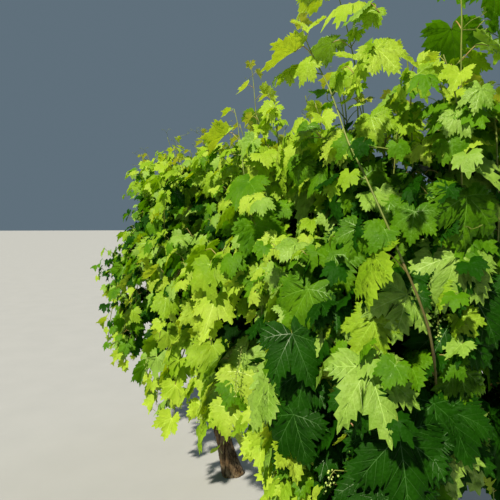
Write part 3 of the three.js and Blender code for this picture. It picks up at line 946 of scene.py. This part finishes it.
# A narrow strip along a vein, a little above or under the blade
def addVein(spots, heights, quads, line, high, widths, lift):
    first = len(spots)
    for spot, way, width, height in zip(line, waysAlong(line), widths, high):
        aside = np.array([way[1], -way[0]]) * width
        spots.extend([spot - aside, spot + aside])
        heights.extend([height + lift, height + lift])
    for j in range(first, len(spots) - 2, 2):
        ring = [j, j + 1, j + 3, j + 2]
        quads.append(ring if lift > 0 else ring[::-1])


def bladeMesh(seed, form, detail):
    inner, rows = detail["inner"], detail["inner"] + detail["margin"]
    corners, heights, tris, quads, veinLines, sideLines = [], [], [], [], [], []
    for half in (1, -1):
        for lobe in range(len(blade["veins"])):
            vein = [veinAt(seed, half, lobe, (j / rows) ** blade["spacing"]) for j in range(rows + 1)]
            if lobe or half == 1:
                veinLines.append(vein)
            for flank in (0, 1) if lobe else (1,):  # towards the leaf's tip, then towards its stalk
                bay = lobe - 1 + flank
                isBay = bay < len(blade["bays"])
                edge = bayEdge(form, seed, half, bay, inner)
                bulge = blade["bayBulge" if isBay else "baseBulge"]
                edge = edge + marginEdge(detail, seed, half, lobe, flank, edge[-1], bulge)
                grid = addGrid(corners, heights, vein, edge, detail, isBay)
                sideLines += [grid[j] for j in range(2, rows) if (j - inner) % 2]
                for j in range(rows):
                    for c in range(detail["columns"]):
                        ring = [grid[j][c], grid[j][c + 1], grid[j + 1][c + 1], grid[j + 1][c]]
                        if j == 0:
                            tris.append([ring[0], ring[2], ring[3]])
                        elif j == rows - 1:
                            tris.append(ring[:3])
                        else:
                            quads.append(ring)
    corners, heights = np.array(corners), np.array(heights)
    rounded = np.round(corners, blade["sameDecimals"])
    _, firsts, back = np.unique(rounded, axis=0, return_index=True, return_inverse=True)
    back = back.reshape(-1)
    flat, heights = corners[firsts], heights[firsts]
    tris, quads = facing(back[np.array(tris)], flat), facing(back[np.array(quads)], flat)

    spots, lifts, veinQuads = list(flat), list(heights), []
    fine = detail["veins"] == 2
    for line in np.array(veinLines) if detail["veins"] else []:
        picks = np.array([*range(0, rows, 1 if fine else inner + 2), rows])
        widths = blade["mainVein"] * (1 - blade["mainTaper"] * picks / rows)
        flatVein = np.zeros(len(picks))
        addVein(spots, lifts, veinQuads, line[picks], flatVein, widths, blade["lift"])
        if fine:
            picks = np.array([*picks[::3], rows])
            widths = blade["mainVein"] * (blade["undersideVein"] - picks / rows)
            addVein(spots, lifts, veinQuads, line[picks], flatVein, widths, -blade["lift"])
    for line in sideLines if fine else []:
        widths = blade["sideVein"] * np.linspace(1, blade["sideTip"], len(line))
        sideLift = blade["lift"] * blade["sideLift"]
        addVein(spots, lifts, veinQuads, flat[back[line]], heights[back[line]], widths, sideLift)

    u, v = np.array(spots).T
    angle = np.arctan2(u, v)
    phase = chance(seed, 3) * aboutTurn
    waves = np.sin(blade["ruffles"] * angle + phase)
    waves = waves + blade["fineRuffle"] * np.sin(blade["fineRuffles"] * angle - 2 * phase)
    bend = -form["tip"] * np.maximum(v, 0) ** 2 - form["side"] * u**2
    bend = bend - form["base"] * np.maximum(-v, 0) ** blade["basePower"]
    height = np.array(lifts) + bend - form["fold"] * np.abs(u) * blade["foldAlong"]
    height = height + blade["ruffle"] * form["wave"] * np.hypot(u, v) ** 2 * waves
    slots = np.repeat([0, 1], [len(quads), len(veinQuads)])
    quads = np.concatenate([quads, veinQuads]) if veinQuads else quads
    return {"corners": np.stack([u, v, height], 1), "quads": quads, "tris": tris, "quadSlots": slots}


bladeMeshes = {}
for name, values in bladeDetails.items():
    detail = dict(zip(detailParts, values))
    for seed, form in enumerate(bladeForms, 1):
        bladeMeshes[name, seed] = bladeMesh(seed, dict(zip(formParts, form)), detail)
    shape = bladeMeshes[name, 1]
    print("blade", name, 2 * len(shape["quads"]) + len(shape["tris"]), "triangles")


# Leaves that are seen closest have the finest blades, and those inside the hedge the plainest
reach = {"near": 1650, "mid": 2250, "front": -60, "top": 1650, "end": 1250}
shortest = {"near": 70, "mid": 60, "far": 78}
bladePlay = {"sides": (-0.32, 0.16), "twist": (-0.34, 0.34), "length": (-0.3, 0.16), "width": (0.9, 1.08)}


def detailOf(made):
    x, y, z = made["base"]
    toEye, length = eye - made["base"], made["length"]
    distance = np.linalg.norm(toEye)
    outside = y < reach["front"] or z > reach["top"] or x > reach["end"]
    seen = np.dot(made["normal"], toEye) > 0
    if made["green"] == "shade":
        return "hidden"
    if outside and seen and distance < reach["near"] and length > shortest["near"]:
        return "near"
    if outside and distance < reach["mid"] and length > shortest["mid"]:
        return "mid"
    return "far" if length > shortest["far"] else "low"


# Each leaf's own bend and twist
def bentBlade(corners, i):
    u, v, height = corners.T
    height = height + between(*bladePlay["sides"], i, 45) * u * u
    height += between(*bladePlay["twist"], i, 46) * u * v + between(*bladePlay["length"], i, 47) * v * v
    return np.stack([u * between(*bladePlay["width"], i, 48), v, height], 1)


piles = {}
kept = []
tally = {}
for i, made in enumerate(leaves):
    detail = detailOf(made)
    young = made["green"] in ("young", "tip")
    form = grownForms + 1 + i % 2 if young else 1 + int(chance(i, 41) * (grownForms - justUnder))
    shape = bladeMeshes[detail, form]
    frameAxes = np.stack([made["across"], made["hangs"], made["normal"]]) * made["length"]
    corners = bentBlade(shape["corners"], i) @ frameAxes + made["base"]
    if not within(corners) or covers(made):
        continue
    made["detail"] = detail
    kept.append(made)
    tally[detail] = tally.get(detail, 0) + 1
    pile = piles.setdefault((made["green"], "near" if made["base"][1] < 0 else "far"), Pile())
    pile.add(corners, shape["quads"], shape["tris"], shape["quadSlots"])
print("leaves kept", len(kept), tally)
for (green, part), pile in sorted(piles.items()):
    pile.piece("leaves_%s_%s" % (green, part), leafFinishes[green], "foliage", massNodes)


# Leaf stalks: they leave the bud upward, arch over and come down on the blade's notch

leafStalk = {
    "lifts": (0.12, 0.22), "middle": 0.55, "into": 0.01, "radii": (2.2, 1.3), "thinnest": 0.35,
    "sides": 3, "closeSides": 4,
}
stalkPile = Pile()
for i, made in enumerate(kept):
    middle = mix(made["bud"], made["base"], leafStalk["middle"])
    middle = middle + vec(0, 0, between(*leafStalk["lifts"], i, 43)) * made["length"]
    ends = made["base"] - made["normal"] * leafStalk["into"] * made["length"]
    close = made["detail"] in ("near", "mid")
    line = [made["bud"], ends] if made["detail"] == "hidden" else [made["bud"], middle, ends]
    line = finer(line, 2) if close else line
    girth = mix(leafStalk["thinnest"], 1, made["length"] / leaf["length"])
    radii = np.linspace(*leafStalk["radii"], len(line)) * girth
    stalkPile.addTube(line, radii, leafStalk["closeSides" if close else "sides"])
stalkPile.piece("leaf_stalks", [stalkSkin], "foliage", massNodes)


# Canes, brown near the stem, and the stubs that they grow from

wood = {
    "stubJut": 6, "stubWave": 0.14, "stubWaves": 5, "stubTip": 0.78, "stubSides": 12,
    "brownShares": (0.25, 0.5), "taper": 0.8, "girth": 0.8, "knot": 1.25, "sides": 5,
    "stoutKinds": ("leader", "stray"), "stoutGirth": 0.68, "stoutSides": 7, "shootRadii": (2.2, 1.2),
    "shootSides": 3,
}
shootPiles = {"green": Pile(), "brown": Pile()}
for mass in masses:
    foot = mass["foot"]
    stub = finer([foot, mix(foot, mass["crown"], 0.5), mass["crown"] + mass["way"] * wood["stubJut"]], 3)
    waves = 1 + wood["stubWave"] * np.sin(np.linspace(0, wood["stubWaves"], len(stub)))
    radii = stem["radius"] * waves * np.linspace(1, wood["stubTip"], len(stub))
    shootPiles["brown"].addTube(stub, radii, wood["stubSides"])
    for branch in mass["canes"]:
        places = [joint["place"] for joint in branch["joints"]]
        stout = branch["kind"] in wood["stoutKinds"]
        steps = 3 if stout else 2
        line = finer(places[:-1] if branch["kind"] == "drooping" else places, steps)
        taper = np.linspace(0, 1, len(line)) ** wood["taper"]
        radii = mix(cane["baseRadius"], cane["tipRadius"], taper) * wood["stoutGirth" if stout else "girth"]
        radii[::steps] *= wood["knot"]
        brown = between(*wood["brownShares"], mass["number"], branch["number"], 44)
        brown = int(len(line) * brown) // steps * steps
        if firstNumbers["more"] <= branch["number"] < firstNumbers["stray"]:
            brown = 0
        for name, low, high in (("brown", 0, brown + 1), ("green", brown, len(line))):
            if high - low > 2:
                sides = wood["stoutSides" if stout else "sides"]
                shootPiles[name].addTube(line[low:high], radii[low:high], sides)
for shoot in shoots:
    line = finer(shoot, 2)
    shootPiles["green"].addTube(line, np.linspace(*wood["shootRadii"], len(line)), wood["shootSides"])
shootPiles["green"].piece("canes_green", [greenShoot], "foliage", massNodes)
shootPiles["brown"].piece("canes_brown", [brownShoot], "foliage", massNodes)


# Tendrils: a thin stem that forks into two curls

tendril = {
    "swings": (30, 80), "lifts": (-0.1, 0.9), "sizes": (0.7, 1.3), "stem": 62, "arch": 5, "sag": 6,
    "fork": 0.45, "forkLift": 0.4, "curl": 58, "turns": 1.6, "steps": 13, "tightening": 1.7,
    "tightness": 13.3, "coiling": 0.012, "radius": 1.0, "radii": (0.9, 0.4), "sides": 3,
}
tendrilPile = Pile()
for made in tendrils:
    keys, bud = made["keys"], made["bud"]
    swing = made["swing"] * between(*tendril["swings"], *keys, 35)
    way = unit(outward(made["side"], swing, between(*tendril["lifts"], *keys, 36)))
    size = between(*tendril["sizes"], *keys, 37)
    fork = bud + way * tendril["stem"] * size + vec(0, 0, -tendril["sag"] * size)
    halfway = bud + way * tendril["stem"] * 0.5 * size + vec(0, 0, tendril["arch"] * size)
    line = finer([bud, halfway, fork], 2)
    tendrilPile.addTube(line, np.full(len(line), tendril["radius"]), tendril["sides"])
    for turn in (-1, 1):
        beside = unit(np.cross(way, vec(0, 0, 1)) * turn + vec(0, 0, tendril["forkLift"]))
        heading, line = unit(way + beside * tendril["fork"]), [fork]
        axis = unit(np.cross(heading, beside))
        for k in range(tendril["steps"]):
            tight = (k / tendril["steps"]) ** tendril["tightening"] * tendril["turns"] * tendril["tightness"]
            heading = unit(turned(heading, axis, tight / tendril["steps"]) + axis * tendril["coiling"])
            line.append(line[-1] + heading * tendril["curl"] / tendril["steps"] * size)
        radii = np.linspace(*tendril["radii"], len(line)) * tendril["radius"]
        tendrilPile.addTube(line, radii, tendril["sides"])
tendrilPile.piece("tendrils", [greenShoot], "foliage", massNodes)
print("shoots, stalks and tendrils are made")


# Young bunches: a stalk opposite a leaf bends over and hangs, with hard green berries on short side stems

bunch = {
    "swings": (15, 60), "sizes": (0.75, 1.2), "stalk": (46, 104), "lift": 0.2, "lean": (0.1, 0.6),
    "length": 78, "reach": 17, "radii": (1.7, 0.8), "rows": 7, "inRow": 3, "along": (0.08, 0.98),
    "spiral": 2.4, "tip": 0.3, "spread": (0.5, 1.1), "hang": (-4, 6), "sides": 4,
    "stemWidth": (0.6, 0.8), "berries": (2.7, 3.8), "ring": 0.45,
    "roundest": 1700,  # how far from the eye the berries have more faces
}


# A ball of two poles and rings of corners between them, each ring turned half a step from the last
def ball(sides, heights):
    corners = [(0, 0, 1)]
    for row, height in enumerate(heights):
        for k in range(sides):
            angle = (k + row / 2) * 2 * math.pi / sides
            wide = math.sqrt(1 - height**2)
            corners.append((wide * math.cos(angle), wide * math.sin(angle), height))
    corners.append((0, 0, -1))
    last = len(corners) - 1
    faces = []
    for k in range(sides):
        after = (k + 1) % sides
        faces += [(0, 1 + k, 1 + after), (last, last - sides + after, last - sides + k)]
        for row in range(len(heights) - 1):
            upper, lower = 1 + row * sides, 1 + (row + 1) * sides
            faces += [(upper + k, lower + k, upper + after), (upper + after, lower + k, lower + after)]
    return np.array(corners, float), faces


roundBerry, plainBerry = ball(5, (bunch["ring"], -bunch["ring"])), ball(4, (0,))
berryPile, stemPile = Pile(), Pile()
for made in bunches:
    keys = made["keys"]
    out = outward(made["side"], made["swing"] * between(*bunch["swings"], *keys, 35))
    size = between(*bunch["sizes"], *keys, 36)
    bend = made["bud"] + (out + vec(0, 0, bunch["lift"])) * between(*bunch["stalk"], *keys, 39) * size
    berryCorners, berryFaces = roundBerry if np.linalg.norm(bend - eye) < bunch["roundest"] else plainBerry
    hang = unit(out * between(*bunch["lean"], *keys, 37) - vec(0, 0, 1))
    tip = bend + hang * bunch["length"] * size
    line = finer([made["bud"], bend, mix(bend, tip, 0.5), tip], 2)
    if not within(line, bunch["reach"]):
        continue
    stemPile.addTube(line, np.linspace(*bunch["radii"], len(line)), bunch["sides"])
    across = unit(np.cross(hang, out))
    beside = np.cross(hang, across)
    for k in range(bunch["rows"] * bunch["inRow"]):
        share = k // bunch["inRow"] / (bunch["rows"] - 1)
        centre = mix(bend, tip, mix(*bunch["along"], share))
        spread = across * math.cos(bunch["spiral"] * k) + beside * math.sin(bunch["spiral"] * k)
        wide = bunch["reach"] * size * mix(1, bunch["tip"], share) * between(*bunch["spread"], *keys, 40 + k)
        berry = centre + spread * wide + hang * between(*bunch["hang"], *keys, 80 + k)
        berryPile.add(berryCorners * between(*bunch["berries"], *keys, 120 + k) + berry, tris=berryFaces)
        along, aside = hang * bunch["stemWidth"][0], np.cross(spread, hang) * bunch["stemWidth"][1]
        ring = [centre + along, centre - along, centre + aside, berry]
        stemPile.add(np.array(ring), tris=[(0, 1, 3), (1, 2, 3), (2, 0, 3)])
berryPile.piece("young_berries", [berrySkin], "foliage", massNodes)
stemPile.piece("bunch_stems", [greenShoot], "foliage", massNodes)
print("bunches are made")


# Bark

grain = {  # patches round the limb, and the length of one along it
    "plates": (15, 85), "ridges": (34, 48), "fibres": (74, 30), "lumps": (6, 70), "lean": 0.5, "bend": 0.25,
    "platePower": 0.6, "ridgePower": 0.7, "plateShare": 0.55,
}
loose = {"gap": 1.2, "flat": 0.35, "narrowing": 0.75, "ridge": 0.9, "thickness": 0.9, "steps": 9}
stripParts = ("angles", "shares", "halfLengths", "widths", "curls")
trunkSkin = {
    "sides": 104, "rings": 170, "from": 0, "even": 0.62, "furrow": 5.2, "fibre": 2.2, "lump": 4,
    "roundFrom": 0.93, "roundPower": 2.4, "least": 0.12, "clear": (0.01, 0.93), "strips": 130,
    "angles": (0, aboutTurn, 52), "shares": (0.06, 0.86, 51), "halfLengths": (0.03, 0.1, 53),
    "widths": (0.04, 0.12, 54), "curls": (4, 22, 55), "floor": 0.5,
}
armSkin = {
    "sides": 46, "ringStep": 7, "from": 0.02, "even": 0.6, "furrow": 2.6, "fibre": 1.4, "lump": 2.5,
    "roundFrom": 0.985, "roundPower": 2, "least": 0.15, "clear": (0.05, 0.97), "strips": 90,
    "angles": (0, aboutTurn, 56), "shares": (0.08, 0.95, 57), "halfLengths": (0.012, 0.04, 58),
    "widths": (0.06, 0.16, 59), "curls": (2, 12, 60), "knot": 4.5, "knotReach": 22, "wave": 0.09,
    "waveRun": 50,
}
spurSkin = {
    "jut": (3, 2, 0), "steps": 6, "base": 1.25, "power": 0.6, "wave": 0.09, "waves": 17, "sides": 22,
    "rough": 0.5,
}


# Smooth random numbers on a grid that closes round the limb
def patchNoise(seed, around, along):
    grid = np.random.default_rng(seed).random((around, along + 2))

    def at(angle, share):
        x = (angle / (2 * math.pi)) % 1 * around
        y = np.clip(share, 0, 1) * along
        i, j = np.floor(x).astype(int), np.floor(y).astype(int)
        tx, ty = x - i, y - j
        tx, ty = tx * tx * (3 - 2 * tx), ty * ty * (3 - 2 * ty)
        i0, i1, j1 = i % around, (i + 1) % around, np.minimum(j + 1, along + 1)
        low = grid[i0, j] * (1 - tx) + grid[i1, j] * tx
        high = grid[i0, j1] * (1 - tx) + grid[i1, j1] * tx
        return low * (1 - ty) + high * ty

    return at


# How far bark stands out: broad plates parted by furrows, with fibres on them
def barkRelief(seed, length):
    plates, ridges, fibres, lumps = [
        patchNoise(seed + i, grain[part][0], int(length / grain[part][1]))
        for i, part in enumerate(("plates", "ridges", "fibres", "lumps"))
    ]

    def at(angle, share):
        lump = lumps(angle, share)
        leaning = angle + grain["lean"] * share + grain["bend"] * (lump - 0.5)
        plate = np.abs(2 * plates(leaning, share) - 1) ** grain["platePower"]
        ridge = np.abs(2 * ridges(leaning, share) - 1) ** grain["ridgePower"]
        rough = plate * grain["plateShare"] + ridge * (1 - grain["plateShare"])
        return rough, fibres(leaning, share), lump

    return at


# A strip of bark that has come loose at its ends
def looseStrip(surface, angle, share, halfLength, width, curl):
    steps, top = loose["steps"], []
    for s in np.linspace(-1, 1, steps):
        lifted = loose["gap"] + curl * max(0, abs(s) - loose["flat"]) ** 2
        narrow = width * (1 - loose["narrowing"] * abs(s) ** 3)
        for side in (-1, 0, 1):
            point, normal = surface(angle + side * narrow, share + s * halfLength)
            top.append(point + normal * (lifted + (0 if side else loose["ridge"])))
    firsts = [3 * i + c for i in range(steps - 1) for c in (0, 1)]
    quads = [[first, first + 1, first + 4, first + 3] for first in firsts]
    count = len(top)
    under = [[count + corner for corner in quad[::-1]] for quad in quads]
    rim = [3 * i for i in range(steps)] + [3 * steps - 2] + [3 * i + 2 for i in reversed(range(steps))] + [1]
    walls = [[a, b, count + b, count + a] for a, b in zip(rim, rim[1:] + rim[:1])]
    thickness = surface(angle, share)[1] * loose["thickness"]
    return np.concatenate([top, np.array(top) - thickness]), np.array(quads + under + walls)


# The skin of a limb with its loose strips: its middle line, the way out of it, and its radius without bark
def barkSkin(rule, seed, keys, length, rings, middleAt, outAt, bareRadius, flipped):
    relief = barkRelief(seed, length)
    angles = np.arange(rule["sides"]) * 2 * math.pi / rule["sides"]

    def radiusAt(share, angle):
        rough, fibre, lump = relief(angle, np.full(np.shape(angle), share))
        past = max(0, share - rule["roundFrom"]) / (1 - rule["roundFrom"])
        rounding = max(math.sqrt(max(0, 1 - past ** rule["roundPower"])), rule["least"])
        radius = bareRadius(share, angle) + (rough - rule["even"]) * rule["furrow"]
        return (radius + (fibre - 0.5) * rule["fibre"] + (lump - 0.5) * rule["lump"]) * rounding

    def surface(angle, share):
        share = min(max(share, rule["clear"][0]), rule["clear"][1])
        out = outAt(angle)
        return middleAt(share) + out * radiusAt(share, np.array([angle])), out

    skin = []
    for i in range(rings + 1):
        share = mix(rule["from"], 1, i / rings)
        ring = middleAt(share) + (outAt(angles) * radiusAt(share, angles)).T
        skin.append(ring[::-1] if flipped else ring)
    pile = Pile()
    pile.add(*closedLoft(skin, middleAt(rule["from"]), middleAt(1)))
    for i in range(rule["strips"]):
        angle, share, *sizes = [between(*rule[part][:2], i, *keys, rule[part][2]) for part in stripParts]
        corners, quads = looseStrip(surface, angle, share, *sizes)
        if "floor" in rule:
            corners[:, 2] = np.maximum(corners[:, 2], rule["floor"])
        pile.add(corners, quads)
    return pile


def makeTrunk():
    def outAt(angle):
        return np.array([np.sin(angle), np.cos(angle), 0 * angle])

    rings, length = trunkSkin["rings"], trunk["height"]
    pile = barkSkin(trunkSkin, 11, (), length, rings, trunkPoint, outAt, trunkRadius, True)
    pile.piece("trunk_bark", [trunkBark], "trunk_bark", ["trunk"])


def makeArm(side):
    length = side["length"]
    spurPlaces = [side["firstSpur"] + i * spur["spacing"] for i in range(len(spursOn(side)))]

    def middleAt(share):
        return armPoint(side, share * length)

    def outAt(angle):
        return np.array([0 * angle, np.cos(angle), np.sin(angle)])

    def bareRadius(share, angle):
        away = [(share * length - place) / armSkin["knotReach"] for place in spurPlaces]
        knot = sum(armSkin["knot"] * math.exp(-far**2) for far in away)
        wave = 1 + armSkin["wave"] * np.sin(2 * angle + share * length / armSkin["waveRun"])
        return mix(arm["rootRadius"], arm["tipRadius"], share) * wave + knot

    seed, rings = side["seed"], int(length / armSkin["ringStep"])
    shape = middleAt, outAt, bareRadius, side["way"] < 0
    pile = barkSkin(armSkin, 20 + seed, (seed,), length, rings, *shape)
    for place in spursOn(side):
        middle = mix(place["foot"], place["tip"], 0.5) + vec(*spurSkin["jut"])
        line = finer([place["foot"], middle, place["tip"]], spurSkin["steps"])
        shares = np.linspace(0, 1, len(line))
        radii = mix(spur["baseRadius"] * spurSkin["base"], spur["tipRadius"], shares ** spurSkin["power"])
        radii = radii * (1 + spurSkin["wave"] * np.sin(shares * spurSkin["waves"]))
        corners, quads, tris = tube(line, radii, spurSkin["sides"])
        rng = np.random.default_rng(int(abs(place["foot"][0])))
        corners[:-2] += rng.normal(0, spurSkin["rough"], corners[:-2].shape)
        pile.add(corners, quads, tris)
    pile.piece(side["name"] + "_bark", [armBark], "arm_bark", [side["name"]])


makeTrunk()
for side in arms:
    makeArm(side)
print("bark is made")
